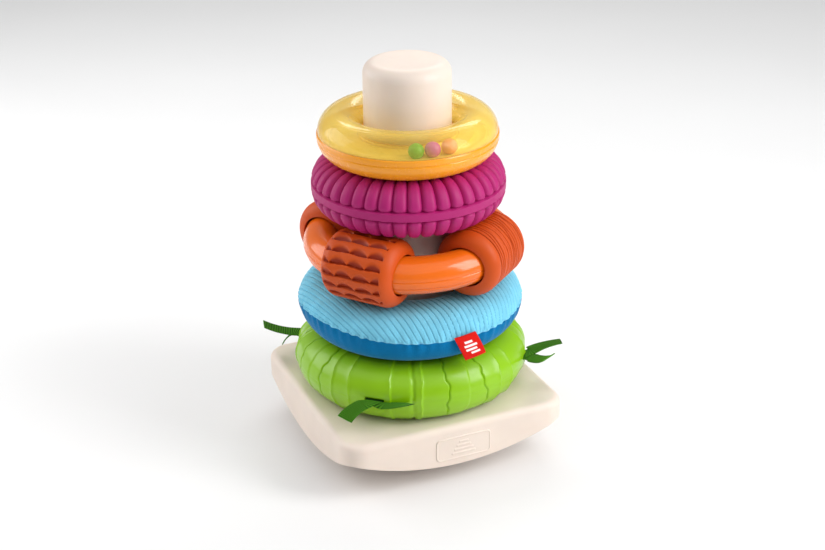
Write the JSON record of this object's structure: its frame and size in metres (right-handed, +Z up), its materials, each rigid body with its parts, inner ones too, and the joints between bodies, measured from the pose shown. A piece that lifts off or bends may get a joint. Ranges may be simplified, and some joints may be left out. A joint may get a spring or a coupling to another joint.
{
  "type": "stacking ring toy",
  "caption": "Rocking square base with a fixed round post and a set of lift-off rings: hard, stuffed, sliding-clacker, ribbed and clear bead rings.",
  "frame": {"origin": "centre of the flat foot under the base, on the floor", "axes": "+Z up along the post's axis, -Y towards the side of the base that carries the plain label, +X to its right"},
  "size_m": [0.1579, 0.1522, 0.2309],
  "materials": {
    "ivory_plastic": "smooth satin",
    "label_plastic": "smooth satin",
    "screw_steel": "plain zinc",
    "green_gloss": "glossy with grooves",
    "ribbon_weave": "ribbed woven ribbon",
    "sky_corduroy": "fine corduroy",
    "blue_plush": "short plush",
    "white_filling": "loose fibre",
    "red_tag": "smooth woven tape",
    "orange_gloss": "glossy",
    "rust_matte": "soft matte",
    "magenta_matte": "soft touch matte",
    "yellow_clear": "clear tinted gloss",
    "yellow_gloss": "glossy",
    "bead_magenta": "glossy",
    "bead_green": "glossy",
    "bead_peach": "glossy"
  },
  "bodies": {
    "base": {"base_shell": "ivory_plastic", "base_bottom_cover": "ivory_plastic", "base_cover_screws": "screw_steel", "post": "ivory_plastic", "post_screws": "screw_steel", "front_label": "label_plastic"},
    "green_ring": {"green_upper_shell": "green_gloss", "green_lower_shell": "green_gloss", "ribbon_front_left": "ribbon_weave", "ribbon_front_right": "ribbon_weave", "ribbon_back_right": "ribbon_weave", "ribbon_back_left": "ribbon_weave"},
    "blue_ring": {"blue_top_cover": "sky_corduroy", "blue_bottom_cover": "blue_plush", "blue_filling": "white_filling", "blue_sewn_tag": "red_tag"},
    "orange_ring": {"orange_tube_upper": "orange_gloss", "orange_tube_lower": "orange_gloss"},
    "clacker_scaled": {"clacker_scaled_outer": "rust_matte", "clacker_scaled_inner": "rust_matte"},
    "clacker_grooved": {"clacker_grooved_outer": "rust_matte", "clacker_grooved_inner": "rust_matte"},
    "clacker_plain": {"clacker_plain_outer": "rust_matte", "clacker_plain_inner": "rust_matte"},
    "purple_ring": {"purple_upper_shell": "magenta_matte", "purple_lower_shell": "magenta_matte"},
    "yellow_ring": {"yellow_clear_dome": "yellow_clear", "yellow_lower_shell": "yellow_gloss", "yellow_bead_track": "yellow_gloss"},
    "bead_magenta": {"bead_magenta": "bead_magenta"},
    "bead_green": {"bead_green": "bead_green"},
    "bead_peach": {"bead_peach": "bead_peach"}
  },
  "joints": [
    {"name": "green_ring_lift", "type": "slide", "parent": "base", "child": "green_ring", "axis": [0, 0, 1], "range_m": [0, 0.198]},
    {"name": "blue_ring_lift", "type": "slide", "parent": "green_ring", "child": "blue_ring", "axis": [0, 0, 1], "range_m": [0, 0.164]},
    {"name": "orange_ring_lift", "type": "slide", "parent": "blue_ring", "child": "orange_ring", "axis": [0, 0, 1], "range_m": [0, 0.13]},
    {"name": "purple_ring_lift", "type": "slide", "parent": "orange_ring", "child": "purple_ring", "axis": [0, 0, 1], "range_m": [0, 0.092]},
    {"name": "yellow_ring_lift", "type": "slide", "parent": "purple_ring", "child": "yellow_ring", "axis": [0, 0, 1], "range_m": [0, 0.06]},
    {"name": "scaled_clacker_slide_round", "type": "hinge", "parent": "orange_ring", "child": "clacker_scaled", "pos_m": [0, 0, 0], "axis": [0, 0, 1], "continuous": true},
    {"name": "grooved_clacker_slide_round", "type": "hinge", "parent": "clacker_scaled", "child": "clacker_grooved", "pos_m": [0, 0, 0], "axis": [0, 0, 1], "range_deg": [-20, 48]},
    {"name": "plain_clacker_slide_round", "type": "hinge", "parent": "clacker_scaled", "child": "clacker_plain", "pos_m": [0, 0, 0], "axis": [0, 0, 1], "range_deg": [-54, 20]},
    {"name": "magenta_bead_roll_round", "type": "hinge", "parent": "yellow_ring", "child": "bead_magenta", "pos_m": [0, 0, 0], "axis": [0, 0, 1], "continuous": true},
    {"name": "green_bead_roll_round", "type": "hinge", "parent": "bead_magenta", "child": "bead_green", "pos_m": [0, 0, 0], "axis": [0, 0, 1], "range_deg": [-150, 0]},
    {"name": "peach_bead_roll_round", "type": "hinge", "parent": "bead_magenta", "child": "bead_peach", "pos_m": [0, 0, 0], "axis": [0, 0, 1], "range_deg": [-1.5, 150]}
  ]
}
